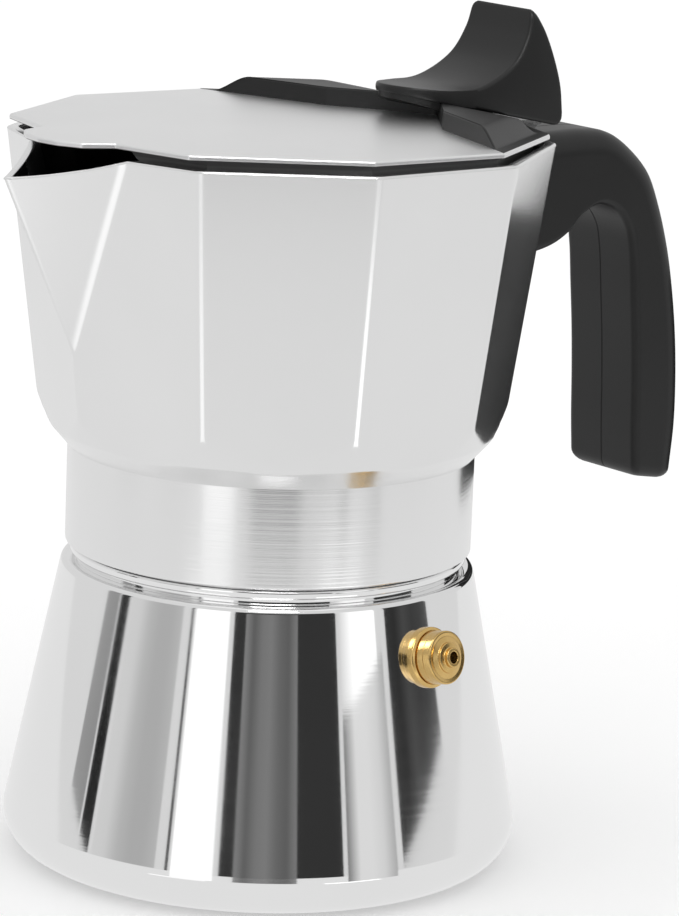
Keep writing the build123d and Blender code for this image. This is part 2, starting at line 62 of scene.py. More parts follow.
def curveThrough(points, count):
    # cubic pieces through the points, each point's slope taken from its neighbours
    p = np.array(points, float)
    slope = np.gradient(p, axis=0)
    t = np.linspace(0, len(p) - 1, count)
    i = np.minimum(t.astype(int), len(p) - 2)
    f = (t - i)[:, None]
    return ((2 * f ** 3 - 3 * f ** 2 + 1) * p[i] + (f ** 3 - 2 * f ** 2 + f) * slope[i]
            + (3 * f ** 2 - 2 * f ** 3) * p[i + 1] + (f ** 3 - f ** 2) * slope[i + 1])


def roundedPath(corners, radii, steps=7, closed=False):
    # straight runs joined by tangent arcs, one radius for each corner
    p = np.array(corners, float)
    parts = []
    for i in range(len(p)):
        here = p[i]
        radius = radii[i] if isinstance(radii, (list, tuple)) else radii
        if not radius or (not closed and i in (0, len(p) - 1)):
            parts.append(here[None])
            continue
        back = p[i - 1] - here
        ahead = p[(i + 1) % len(p)] - here
        back, ahead = back / np.hypot(*back), ahead / np.hypot(*ahead)
        turn = np.arccos(np.clip(-back @ ahead, -1, 1))
        middle = back + ahead
        centre = here + middle / np.hypot(*middle) * radius / np.cos(turn / 2)
        first = here + back * radius * np.tan(turn / 2) - centre
        way = np.sign(first[1] * back[0] - first[0] * back[1])
        a = np.linspace(0, turn, steps) * way
        parts.append(centre + np.stack([first[0] * np.cos(a) - first[1] * np.sin(a),
                                        first[0] * np.sin(a) + first[1] * np.cos(a)], -1))
    return np.concatenate(parts)


def splitRuns(path, longest, lip=0.15, closed=False):
    # long runs are divided, with one point close to each end so that shading stays flat between arcs
    p = np.concatenate([path, path[:1]]) if closed else path
    parts = []
    for a, b in zip(p, p[1:]):
        run = np.hypot(*(b - a))
        if run > 4 * lip:
            inner = np.linspace(lip / run, 1 - lip / run, max(2, int(run / longest) + 2))
            share = np.concatenate([[0], inner])
        else:
            share = np.array([0.0])
        parts.append(a + share[:, None] * (b - a))
    if not closed:
        parts.append(p[-1:])
    return np.concatenate(parts)


def gridFaces(rows, columns, wrapRows, wrapColumns, start):
    r, c = np.meshgrid(np.arange(rows if wrapRows else rows - 1),
                       np.arange(columns if wrapColumns else columns - 1), indexing="ij")
    down, across = (r + 1) % rows, (c + 1) % columns
    corners = [r * columns + c, down * columns + c, down * columns + across, r * columns + across]
    return start + np.stack(corners, -1).reshape(-1, 4)


def makePiece(name, grids, crease=32, merge=0.002, fillEnds=False):
    # grids is a list of (points, wrapRows, wrapColumns); points closer than merge become one,
    # open ends are filled if asked, and faces are turned outwards
    start, points, faces = 0, [], []
    for grid, wrapRows, wrapColumns in grids:
        rows, columns = grid.shape[:2]
        faces += gridFaces(rows, columns, wrapRows, wrapColumns, start).tolist()
        points.append(grid.reshape(-1, 3))
        start += rows * columns
    mesh = bpy.data.meshes.new(name)
    mesh.from_pydata((np.concatenate(points) * mm).tolist(), [], faces)
    work = bmesh.new()
    work.from_mesh(mesh)
    bmesh.ops.remove_doubles(work, verts=work.verts, dist=merge * mm)
    bmesh.ops.dissolve_degenerate(work, edges=work.edges, dist=merge * mm / 10)
    if fillEnds:
        filled = bmesh.ops.holes_fill(work, edges=[e for e in work.edges if e.is_boundary], sides=0)
        bmesh.ops.triangulate(work, faces=filled["faces"])
    bmesh.ops.recalc_face_normals(work, faces=work.faces)
    work.to_mesh(mesh)
    work.free()
    mesh.polygons.foreach_set("use_smooth", np.ones(len(mesh.polygons), bool))
    mesh.set_sharp_from_angle(angle=radians(crease))
    piece = bpy.data.objects.new(name, mesh)
    bpy.context.scene.collection.objects.link(piece)
    return piece


def turned(profile, columns, origin=(0, 0, 0), axis=(0, 0, 1)):
    # each (radius, height) of the profile is carried once round the axis
    up = np.array(axis, float) / np.linalg.norm(axis)
    side = np.cross([0, 0, 1], up) if abs(up[2]) < 0.99 else np.array([1.0, 0, 0])
    side /= np.linalg.norm(side)
    other = np.cross(up, side)
    a = np.linspace(0, 2 * pi, columns, endpoint=False)[None, :, None]
    r, h = profile[:, 0][:, None, None], profile[:, 1][:, None, None]
    return np.array(origin) + r * (np.cos(a) * side + np.sin(a) * other) + h * up


def flatRing(flat, y):
    # an outline of (x, z) points set at one y
    return np.stack([flat[:, 0], np.full(len(flat), y), flat[:, 1]], -1)


def markPaintedShade(piece, test):
    # writes 1 in the attribute "inside" where test(x, y, z, outward, upward) holds, with z in millimetres;
    # satinMetal paints shade, dark grey, where it is 1
    mesh = piece.data
    count = len(mesh.vertices)
    place, normal = np.empty(count * 3), np.empty(count * 3)
    mesh.vertices.foreach_get("co", place)
    mesh.vertices.foreach_get("normal", normal)
    x, y, z = place.reshape(-1, 3).T / mm
    nx, ny, nz = normal.reshape(-1, 3).T
    outward = (nx * x + ny * y) / np.maximum(np.hypot(x, y), 1e-6)
    value = np.where(test(x, y, z, outward, nz), 1.0, 0.0)
    mesh.attributes.new("inside", "FLOAT", "POINT").data.foreach_set("value", value.astype(np.float32))


def standsFor(piece, body, finish, slotName, *nodes):
    piece.data.materials.append(finish)
    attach(piece, body)
    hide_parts(*nodes)


# ---- finishes: shader maths as Python expressions

class Wire:
    # one output of a node, with the sums that materials need
    def __init__(self, finish, socket):
        self.finish, self.socket = finish, socket

    def sum(self, operation, a, b=0.0, c=0.0):
        node = self.finish.node("ShaderNodeMath", {"operation": operation}, {0: a, 1: b, 2: c})
        return Wire(self.finish, node.outputs[0])

    def __add__(self, other):
        return self.sum("ADD", self, other)

    def __sub__(self, other):
        return self.sum("SUBTRACT", self, other)

    def __mul__(self, other):
        return self.sum("MULTIPLY", self, other)

    def __truediv__(self, other):
        return self.sum("DIVIDE", self, other)

    def __pow__(self, other):
        return self.sum("POWER", self, other)

    def __rsub__(self, other):
        return self.sum("SUBTRACT", other, self)

    __radd__ = __add__
    __rmul__ = __mul__

    def between(self, low, high):
        # 0 below low, 1 above high, smooth in between
        node = self.finish.node("ShaderNodeMapRange", {"interpolation_type": "SMOOTHSTEP"},
                                {"Value": self, "From Min": low, "From Max": high})
        return Wire(self.finish, node.outputs["Result"])


class Finish:
    def __init__(self, name):
        self.material = bpy.data.materials.new(name)
        self.material.use_nodes = True
        self.tree = self.material.node_tree
        self.tree.nodes.clear()
        self.shader = self.node("ShaderNodeBsdfPrincipled", {}, {})
        self.node("ShaderNodeOutputMaterial", {}, {"Surface": Wire(self, self.shader.outputs[0])})
        self.place = Wire(self, self.node("ShaderNodeTexCoord", {}, {}).outputs["Object"])

    def node(self, kind, settings, values):
        made = self.tree.nodes.new(kind)
        for key, value in settings.items():
            setattr(made, key, value)
        for key, value in values.items():
            if isinstance(value, Wire):
                self.tree.links.new(value.socket, made.inputs[key])
            elif kind != "ShaderNodeMath" or key < len(made.inputs):
                made.inputs[key].default_value = value
        return made

    def set(self, **values):
        for key, value in values.items():
            socket = self.shader.inputs[key.replace("_", " ")]
            if isinstance(value, Wire):
                self.tree.links.new(value.socket, socket)
            else:
                socket.default_value = value

    def axes(self):
        split = self.node("ShaderNodeSeparateXYZ", {}, {"Vector": self.place})
        return [Wire(self, split.outputs[i]) for i in range(3)]

    def stretched(self, x, y, z):
        node = self.node("ShaderNodeVectorMath", {"operation": "MULTIPLY"}, {0: self.place, 1: (x, y, z)})
        return Wire(self, node.outputs[0])

    def noise(self, scale, detail=3.0, vector=None):
        values = {"Vector": vector or self.place, "Scale": scale, "Detail": detail}
        node = self.node("ShaderNodeTexNoise", {}, values)
        return Wire(self, node.outputs["Fac"])

    def blend(self, share, a, b):
        node = self.node("ShaderNodeMix", {"data_type": "RGBA"}, {0: share, 6: a, 7: b})
        return Wire(self, node.outputs[2])

    def bump(self, height, strength, distance):
        node = self.node("ShaderNodeBump", {}, {"Strength": strength, "Distance": distance, "Height": height})
        self.set(Normal=Wire(self, node.outputs[0]))


def grey(value, warm=0.0):
    return (value + warm, value, value - warm, 1)


def mirrorMetal():
    # turned and polished, with faint rings from the lathe and a little haze
    f = Finish("mirrorMetal")
    rings = f.noise(1.0, 4.0, f.stretched(9, 9, 1500))
    haze = f.noise(22.0, 4.0)
    f.set(Metallic=1.0, Roughness=0.035 + 0.05 * haze.between(0.35, 0.75) + 0.03 * rings,
          Base_Color=f.blend(haze, grey(0.83), grey(0.89)))
    f.bump(rings, 0.015, 0.0001)
    return f.material


def satinMetal():
    # facets with a fine even grain, a shinier turned collar, a duller lid, and painted shade inside: the
    # jug's inner walls and floor and the lid's underside are coloured dark grey and made rougher to look
    # shaded
    f = Finish("satinMetal")
    x, y, z = f.axes()
    collar = 1 - z.between(0.0852, 0.0862)
    grain = f.noise(5200.0, 2.0)
    cloud = f.noise(30.0, 3.0)
    rings = f.noise(1.0, 5.0, f.stretched(14, 14, 2600))
    onLid = z.between(0.1499, 0.1502)
    # "inside" marks the hollows where shade falls; the dark grey below is painted shade, not the metal's own
    # colour
    inside = Wire(f, f.node("ShaderNodeAttribute", {"attribute_name": "inside"}, {}).outputs["Fac"])
    bright = f.blend(cloud, grey(0.80), grey(0.86))
    f.set(Metallic=1.0, Roughness=0.15 + 0.05 * cloud + 0.02 * grain + 0.2 * onLid + 0.3 * inside,
          Base_Color=f.blend(inside, bright, grey(0.17)))
    f.bump(grain * (1 - collar) * 0.5 + rings * collar, 0.12, 0.00012)
    return f.material


def brassMetal():
    f = Finish("brassMetal")
    grain = f.noise(900.0, 3.0)
    stain = f.noise(260.0, 3.0)
    f.set(Metallic=1.0, Roughness=0.16 + 0.14 * grain,
          Base_Color=f.blend(stain, (0.62, 0.40, 0.13, 1), (0.78, 0.55, 0.23, 1)))
    f.bump(grain, 0.15, 0.0001)
    return f.material


def blackPlastic():
    # moulded, satin, with a very fine spark-eroded grain
    f = Finish("blackPlastic")
    grain = f.noise(2600.0, 2.0)
    cloud = f.noise(45.0, 3.0)
    f.set(Roughness=0.34 + 0.1 * cloud + 0.05 * grain, Specular_IOR_Level=0.36,
          Base_Color=f.blend(cloud, grey(0.006), grey(0.010)))
    f.bump(grain, 0.12, 0.0001)
    return f.material


def plainMetal(name, tone, roughness, metallic=1.0, warm=0.0):
    f = Finish(name)
    cloud = f.noise(60.0, 4.0)
    grain = f.noise(1500.0, 2.0)
    f.set(Metallic=metallic, Roughness=roughness + 0.12 * cloud,
          Base_Color=f.blend(cloud, grey(tone * 0.92, warm), grey(tone, warm)))
    f.bump(grain, 0.1, 0.0001)
    return f.material


def fibreRed():
    f = Finish("fibreRed")
    fleck = f.noise(700.0, 4.0)
    f.set(Roughness=0.7, Base_Color=f.blend(fleck, (0.22, 0.03, 0.02, 1), (0.42, 0.07, 0.04, 1)))
    f.bump(fleck, 0.3, 0.0002)
    return f.material


mirror, satin, brass, plastic = mirrorMetal(), satinMetal(), brassMetal(), blackPlastic()
print("finishes made")


# ---- boiler: a cone turned from one profile, with a screw thread on its neck

boiler = {"footRadius": 55.0, "taper": 0.2034, "wall": 1.3, "floor": 2.0, "footRound": 7.8, "shoulder": 61.6,
          "groove": 39.6, "grooveTop": 62.8, "bead": 40.8, "beadTop": 64.6, "neck": 37.5, "bore": 35.0,
          "neckTop": 75.0, "pitch": 3.2, "threadDepth": 0.7, "columns": 384}


def coneRadius(z):
    return boiler["footRadius"] - boiler["taper"] * z


def makeBoiler():
    b = boiler
    outside = roundedPath([(0, 0), (coneRadius(0), 0), (coneRadius(b["shoulder"]), b["shoulder"]),
                           (b["groove"], b["shoulder"]), (b["groove"], b["grooveTop"]),
                           (b["bead"], b["grooveTop"]), (b["bead"], b["beadTop"]), (b["neck"], b["beadTop"])],
                          [0, b["footRound"], 1.4, 0.15, 0.15, 0.55, 0.55, 0], steps=12)
    outside = splitRuns(outside, 12)
    neckHeights = np.linspace(b["beadTop"], b["neckTop"], 60)[1:]
    neck = np.stack([np.full_like(neckHeights, b["neck"]), neckHeights], -1)
    inside = roundedPath([(b["bore"], b["neckTop"]), (b["bore"], b["grooveTop"]),
                          (coneRadius(58.6) - b["wall"], 58.6),
                          (coneRadius(b["floor"]) - b["wall"], b["floor"]), (0, b["floor"])],
                         [0, 0.8, 0.8, 5.5, 0], steps=10)
    inside = splitRuns(inside, 12)
    profile = np.concatenate([outside, neck, inside])
    grid = turned(profile, b["columns"])
    # thread: the depth follows the height less one pitch for each turn, as a rounded saw
    a = np.linspace(0, 1, b["columns"], endpoint=False)[None, :]
    z = profile[:, 1][:, None]
    onNeck = np.zeros(len(profile))
    onNeck[len(outside):len(outside) + len(neck)] = 1
    wave = np.abs(((z / b["pitch"] - a) % 1) * 2 - 1)
    fade = smoothStep((z - b["beadTop"] - 0.6) / 1.2) * smoothStep((b["neckTop"] - z) / 1.0)
    cut = b["threadDepth"] * smoothStep(1.6 * wave - 0.3) * fade * onNeck[:, None]
    grid[..., :2] *= (1 - cut / np.maximum(profile[:, 0][:, None], 1))[..., None]
    piece = makePiece("boilerShell", [(grid, False, True)])
    standsFor(piece, "boiler", mirror, "polished_steel", "boiler")


makeBoiler()
print("boiler made")


# ---- safety valve, turned about an axis square to the cone

valve = {"angle": -80.5, "height": 49.5}


def makeValve():
    around, lift = radians(valve["angle"]), np.arctan(boiler["taper"])
    r = coneRadius(valve["height"])
    origin = (r * cos(around), r * sin(around), valve["height"])
    axis = (cos(around) * cos(lift), sin(around) * cos(lift), sin(lift))
    body = roundedPath([(1.6, -6), (4.0, -6), (4.0, -0.75), (6.15, -0.75), (6.15, 0.95), (5.55, 1.25),
                        (5.0, 1.25), (5.0, 1.5), (5.4, 1.5), (5.4, 3.1), (3.4, 3.1), (3.4, 0.2), (1.6, 0.2)],
                       [0, 0.2, 0, 0.1, 0.3, 0.25, 0.05, 0.05, 0.12, 0.05, 0, 0, 0], steps=4, closed=True)
    cap = roundedPath([(1.2, 4.5), (1.2, 6.8), (2.0, 6.8), (2.0, 5.9), (3.1, 5.7), (3.1, 5.25), (4.3, 4.9),
                       (5.4, 5.1), (5.4, 3.1), (3.4, 3.1), (3.4, 4.5)],
                      [0.05, 0.15, 0.2, 0.15, 0.15, 0.2, 0.3, 0.35, 0.1, 0, 0.05], steps=4, closed=True)
    for name, profile, node in (("valveBody", body, "valve_body"), ("valveCap", cap, "valve_cap")):
        grid = turned(splitRuns(profile, 2, 0.08, closed=True), 72, origin, axis)
        standsFor(makePiece(name, [(grid, True, True)]), "boiler", brass, "brass", node)


makeValve()
print("valve made")


# ---- jug: ten tapered flats growing out of a round collar, with a keeled spout

jug = {"rim": 149.65, "corner": 55.8, "taper": 0.1337, "wall": 2.3, "floor": 84.8, "collar": 41.87,
       "collarBottom": 65.05, "bore": 37.85, "seat": 78.8, "recess": 82.0, "recessRadius": 31.0,
       "hole": 6.4, "edge": 0.7, "keelEdge": 1.2, "lipDrop": 4.35, "rimRound": 0.45,
       "flare": [(85.5, 41.87), (89.8, 45.7), (95.8, 48.7), (101.0, 50.6)],
       "spout": [(-50.5, 16.4, 149.65), (-51.7, 0, 111.2), (-68.0, 0, 145.3)], "spoutWall": 1.5}


def flatsRadius(angle, z, inset):
    # nearest flat and the one beyond the nearest corner, each at its distance over the cosine of the swing
    half = pi / 10
    fromCorner = np.abs((angle + half) % (2 * half) - half)
    apothem = (jug["corner"] - jug["taper"] * (jug["rim"] - z)) * cos(half) - inset
    return softMin(apothem / np.cos(half - fromCorner), apothem / np.cos(half + fromCorner), jug["edge"])


def spoutRadius(angle, z, inset):
    # where a level ray meets the two mirrored planes that form the keel
    a, b, c = (np.array(p) for p in jug["spout"])
    n = np.cross(c - a, b - a)
    n = n / np.linalg.norm(n) * (1 if n[0] < 0 else -1)
    reach = n @ a - n[2] * z - inset
    meets = []
    for side in (1, -1):
        toward = n[0] * np.cos(angle) + n[1] * side * np.sin(angle)
        meets.append(np.where(toward > 0.05, reach / np.maximum(toward, 0.05), 1e3))
    both = softMin(meets[0], meets[1], jug["keelEdge"])
    return np.where((both > 500) | (reach < 0) | (np.cos(angle) > -0.7), 0, both)


def jugRadius(angle, z, inset):
    heights, radii = np.array(jug["flare"]).T
    flare = np.interp(z, heights, radii) + np.maximum(z - heights[-1], 0) * 2
    spoutInset = inset * jug["spoutWall"] / jug["wall"]
    body = softMax(flatsRadius(angle, z, inset), spoutRadius(angle, z, spoutInset), 0.9)
    return softMin(body, flare - inset, 0.5)


def jugColumns():
    # angles in degrees, close together at every corner and across the spout
    near = np.array([0, 0.12, 0.25, 0.4, 0.6, 0.9, 1.6, 3, 6, 10, 14])
    offsets = np.unique(np.concatenate([-near, near, [18]]))
    angles = np.concatenate([offsets + 36 * k for k in range(10)]) % 360
    outsideSpout = angles[(angles < 158) | (angles > 202)]
    return np.radians(np.sort(np.concatenate([outsideSpout, np.linspace(158, 202, 177)])))


def makeJug():
    j = jug
    angle = jugColumns()[None, :]
    away = np.abs(np.degrees(angle) - 180)
    rim = j["rim"] - j["lipDrop"] * np.clip(1 - (away / 18) ** 1.22, 0, 1)

    def rounds(radius, heights):
        return np.broadcast_to(np.reshape(radius, (-1, 1)), (np.size(radius), angle.size)), \
            np.broadcast_to(np.reshape(heights, (-1, 1)), (np.size(heights), angle.size))

    def walls(inset, low, share):
        z = low + np.reshape(share, (-1, 1)) * (rim - low)
        return jugRadius(angle, z, inset), z

    curl = np.linspace(0, pi / 2, 5)[:, None]
    innerShare = np.linspace(0, 1, 40) ** 0.9
    outerLow = np.concatenate([np.linspace(85.5, 101, 44)[:-1], np.linspace(101, 112, 12)])
    parts = [rounds(np.linspace(j["hole"], 34, 6), np.full(6, j["floor"])),
             walls(j["wall"], j["floor"] + 0.01, innerShare[:-1])]
    # rim: the wall's top turned over in a small half round
    topIn, topOut = walls(j["wall"], j["floor"], [1.0])[0], walls(0, j["floor"], [1.0])[0]
    rimRound = j["rimRound"]
    rise = rim - rimRound
    parts += [(topIn + rimRound * (1 - np.cos(curl)), rise + rimRound * np.sin(curl)),
              (topOut - rimRound * (1 - np.cos(curl[::-1])), rise + rimRound * np.sin(curl[::-1]))]
    upper = np.linspace(1, 0, 46)[:, None]
    zUpper = 112 + upper * (rise - 0.05 - 112)
    parts += [(jugRadius(angle, zUpper, 0), zUpper)]
    zLow = outerLow[::-1][:, None] + 0 * angle
    parts += [(jugRadius(angle, zLow, 0), zLow)]
    collar = splitRuns(roundedPath([(j["collar"], 85.5), (j["collar"], j["collarBottom"]),
                                    (j["bore"], j["collarBottom"])], [0, 0.5, 0], 6), 4)[1:]
    parts += [rounds(collar[:, 0], collar[:, 1])]
    # inner thread: cut outwards from the bore by the same rounded saw as the neck's
    zThread = np.linspace(j["collarBottom"], j["seat"], 64)[1:-1][:, None]
    wave = np.abs(((zThread / 3.2 - angle / (2 * pi)) % 1) * 2 - 1)
    fadeIn = smoothStep((zThread - j["collarBottom"] - 0.8) / 1.2)
    fade = fadeIn * smoothStep((j["seat"] - 1.5 - zThread) / 1.2)
    parts += [(j["bore"] + 0.6 * (1 - smoothStep(1.6 * wave - 0.3)) * fade, zThread + 0 * angle)]
    under = splitRuns(np.array([(j["bore"], j["seat"]), (j["recessRadius"], j["seat"]),
                                (j["recessRadius"], j["recess"]), (j["hole"], j["recess"])]), 8)
    parts += [rounds(under[:, 0], under[:, 1])]
    r = np.concatenate([p[0] + 0 * angle for p in parts])
    z = np.concatenate([p[1] + 0 * angle for p in parts])
    grid = np.stack([r * np.cos(angle), r * np.sin(angle), z], -1)
    # post: an eye on a web, its outline carried across its thickness
    post = hingePost(63.0, 151.6, 3.0, 1.25, 3.0, 138.0)
    piece = makePiece("jugShell", [(grid, True, True), *post], 28)
    # the jug's inner walls and floor are marked for painted shade
    markPaintedShade(piece, lambda x, y, z, outward, upward: (z > 84.7) & (z < 149.0) & (np.hypot(x, y) < 58)
               & ((outward < -0.5) | ((upward > 0.7) & (z < 86))))
    standsFor(piece, "jug", satin, "satin_aluminium", "upper_chamber")


def hingePost(x, z, eye, bore, halfWidth, foot):
    # two outlines, the eye's bore and the web round it, joined column by column and carried from side to side
    a = np.linspace(0, 2 * pi, 48, endpoint=False)
    hole = np.stack([x + bore * np.cos(a), z + bore * np.sin(a)], -1)
    outer = np.stack([x + eye * np.cos(a), z + eye * np.sin(a)], -1)
    low = np.sin(a) < 0
    side = np.clip(np.tan(a - 1.5 * pi), -1e3, 1e3)
    outer[low, 0] = x + np.clip(eye * side[low] * 1.0, -eye, eye)
    depth = np.minimum(eye / np.maximum(np.abs(side[low]), 1e-6), z - foot)
    outer[low, 1] = z - depth
    loop = np.stack([flatRing(hole, -halfWidth), flatRing(outer, -halfWidth),
                     flatRing(outer, halfWidth), flatRing(hole, halfWidth)])
    return [(loop, True, True)]


makeJug()
print("jug made")


# ---- lid: a flat decagon with a turned-down edge, a skirt below and a tongue over the spout

lid = {"corners": [(0, 54.4), (36.3, 54.3), (72, 52.7), (108, 52.7), (146.6, 55.2)],  # angle, radius
       "bottom": 150.9, "thick": 1.1,
       "tilt": 0.65, "skirt": 51.0, "skirtThick": 1.2, "skirtDeep": 3.0,
       "tongue": [(-50.4, 12.5), (-56.5, 10.0), (-59.3, 5.0), (-60.0, 0)], "edge": 0.45}
hinge = {"x": 63.0, "z": 151.6, "pin": 1.25, "eye": 2.8, "inner": 3.3, "outer": 6.0}


def lidLevel(x, y=0):
    # underside of the lid, a plane that rises towards the spout
    return lid["bottom"] - x * tan(radians(lid["tilt"]))


def lidCorners(inset=0.0, widest=180):
    # (x, y) of the corners up to an angle each side of the hinge, in order round the back
    there = [(a, r - inset) for a, r in lid["corners"] if a <= widest]
    half = [(r * cos(radians(a)), r * sin(radians(a))) for a, r in there]
    return [(x, -y) for x, y in half[:0:-1]] + half


def lidOutline():
    corners = lidCorners()
    tongue = [(x, y) for x, y in lid["tongue"]]
    back = [(x, -y) for x, y in lid["tongue"][-2::-1]]
    radii = [0.9] * 9 + [0.6, 1.5, 3.0, 3.0, 3.0, 1.5, 0.6]
    return splitRuns(roundedPath(corners + tongue + back, radii, 6, closed=True), 2.0, 0.3, closed=True)


def makeLid():
    outline = lidOutline()
    reach = np.hypot(outline[:, 0], outline[:, 1])
    way = outline / reach[:, None]
    angle = np.arctan2(outline[:, 1], outline[:, 0])
    half = pi / 10
    fromCorner = np.abs((angle + half) % (2 * half) - half)
    skirtReach = lid["skirt"] * cos(half) / np.cos(half - fromCorner)
    behindSpout = smoothStep((np.abs(np.degrees(np.abs(angle)) - 180) - 15) / 3)
    t, e = lid["thick"], lid["edge"]
    curl = np.linspace(0, pi / 2, 5)
    rows = []
    for share in (0, 0.12, 0.3, 0.5, 0.7, 0.85, 0.93, 0.97):
        rows.append((reach * share, t))
    for c in curl:
        rows.append((reach - e + e * np.sin(c), t - e + e * np.cos(c)))
    for c in curl:
        rows.append((reach - 0.2 + 0.2 * np.cos(c), 0.2 - 0.2 * np.sin(c)))
    inner = np.minimum(skirtReach, reach - 1.5)
    thick = lid["skirtThick"]
    foot = -lid["skirtDeep"] * behindSpout
    rows += [(inner + 0.2, 0.0), (inner, -0.15), (inner, foot + 0.1), (inner - 0.2, foot - 0.001),
             (inner - thick + 0.2, foot - 0.001), (inner - thick, foot + 0.1), (inner - thick, -0.15),
             (inner - thick - 0.2, 0.0), (inner * 0.5, 0.0), (inner * 0, 0.0)]
    r = np.stack([row[0] + 0 * reach for row in rows])
    h = np.stack([row[1] + 0 * reach for row in rows])
    x, y = r * way[:, 0], r * way[:, 1]
    grid = np.stack([x, y, lidLevel(x) + h], -1)
    ears = []
    for side in (1, -1):
        ears += lidEar(side)
    piece = makePiece("lidPlate", [(grid, False, True), *ears], 28)
    # the lid's underside and skirt are marked for painted shade
    markPaintedShade(piece, lambda x, y, z, outward, upward: (z < lidLevel(x) + 0.15) & (x < 48))
    standsFor(piece, "lid", satin, "satin_aluminium", "lid")


def lidEar(side):
    # an eye with an arm to the lid: bore and outline joined column by column
    a = np.linspace(0, 2 * pi, 48, endpoint=False)
    x, z, bore, eye = hinge["x"], hinge["z"], hinge["pin"] + 0.05, hinge["eye"]
    hole = np.stack([x + bore * np.cos(a), z + bore * np.sin(a)], -1)
    outer = np.stack([x + eye * np.cos(a), z + eye * np.sin(a)], -1)
    arm = (np.cos(a) < -0.6)
    outer[arm, 0] = 49.0
    outer[arm, 1] = np.interp(np.sin(a[arm]), [-0.8, 0.8], [151.0, 152.8])
    y0, y1 = side * hinge["inner"], side * hinge["outer"]
    loop = [flatRing(hole, y0), flatRing(outer, y0), flatRing(outer, y1), flatRing(hole, y1)]
    return [(np.stack(loop), True, True)]


makeLid()
print("lid made")


# ---- black cover over the rear of the lid

knob = {"half": 11.0, "front": 26.0, "shoulder": 42.0, "back": 65.9, "backBottom": 148.9,
        "slope": 0.205, "edge": 0.8,
        "taper": 0.11, "taperFrom": 158.0, "topRound": 1.6,
        "scoop": [(25, 158.7), (36, 157.9), (44, 158.6), (51.8, 162.6), (55.6, 168), (57.0, 173.4)],
        "rear": [(58.1, 173.4), (60.9, 169), (63.2, 163.6), (65.1, 157.5), (65.9, 152)]}


def knobBottom(x):
    return knob["backBottom"] + knob["slope"] * (knob["back"] - x)


saddle = {"inset": 0.3, "height": 3.9, "flatEdge": 1.6, "run": 6.4, "edge": 0.35,
          "front": [(26.0, -19.2), (35.9, -6.1), (40.5, 0), (35.9, 6.1), (26.0, 19.2)]}


def saddleRise(x, y):
    # distance in from the nearest edge of the cover, turned into a soft S
    c = np.array(lidCorners(saddle["inset"], 73))
    inward = np.full(np.shape(x), 1e3)
    for a, b in zip(c, c[1:]):
        run = (b - a) / np.hypot(*(b - a))
        inward = np.minimum(inward, run[0] * (y - a[1]) - run[1] * (x - a[0]))
    rise = saddle["height"] * smoothStep((inward - saddle["flatEdge"]) / saddle["run"])
    return softMin(rise, knobBottom(x) - lidLevel(x) - lid["thick"], 0.25)


def makeSaddle():
    s = saddle
    corners = np.array(lidCorners(s["inset"], 73))
    front = roundedPath([tuple(corners[0]), *s["front"], tuple(corners[-1])], [0, 3, 3, 3, 3, 3, 0], 8)
    front = splitRuns(front, 0.8, 0.1)
    walked = np.concatenate([[0], np.cumsum(np.hypot(*np.diff(front, axis=0).T))])
    share = walked / walked[-1]
    back = np.stack([np.interp(share * 4, range(5), corners[:, i]) for i in range(2)], -1)
    v = np.concatenate([[0, 0.01, 0.02], np.linspace(0.05, 0.97, 40), [0.985, 1]])[:, None, None]
    flat = front[None] * (1 - v) + back[None] * v
    x, y = flat[..., 0], flat[..., 1]
    base = lidLevel(x) + lid["thick"] - 0.05
    top = np.stack([x, y, base + np.maximum(saddleRise(x, y), 0.12)], -1)
    bottom = np.stack([x, y, base], -1)
    # wall at the front, a small bevel along its top, the roof, then back underneath
    lip = np.minimum(s["edge"], (top[0, :, 2] - bottom[0, :, 2]) / 2)
    wall = top[0] - lip[:, None] * [0, 0, 1]
    roof = top.copy()
    roof[0, :, 0] += lip
    grid = np.concatenate([bottom[:1], wall[None], roof, bottom[::-1][:1], bottom[::-1][1:-1:6], bottom[:1]])
    piece = makePiece("lidSaddle", [(grid, False, False)], 30, 0.02, fillEnds=True)
    standsFor(piece, "lid", plastic, "black_plastic", "lid_saddle")


makeSaddle()
print("saddle made")


# ---- knob: one side profile carried across, its front drawn as half an ellipse

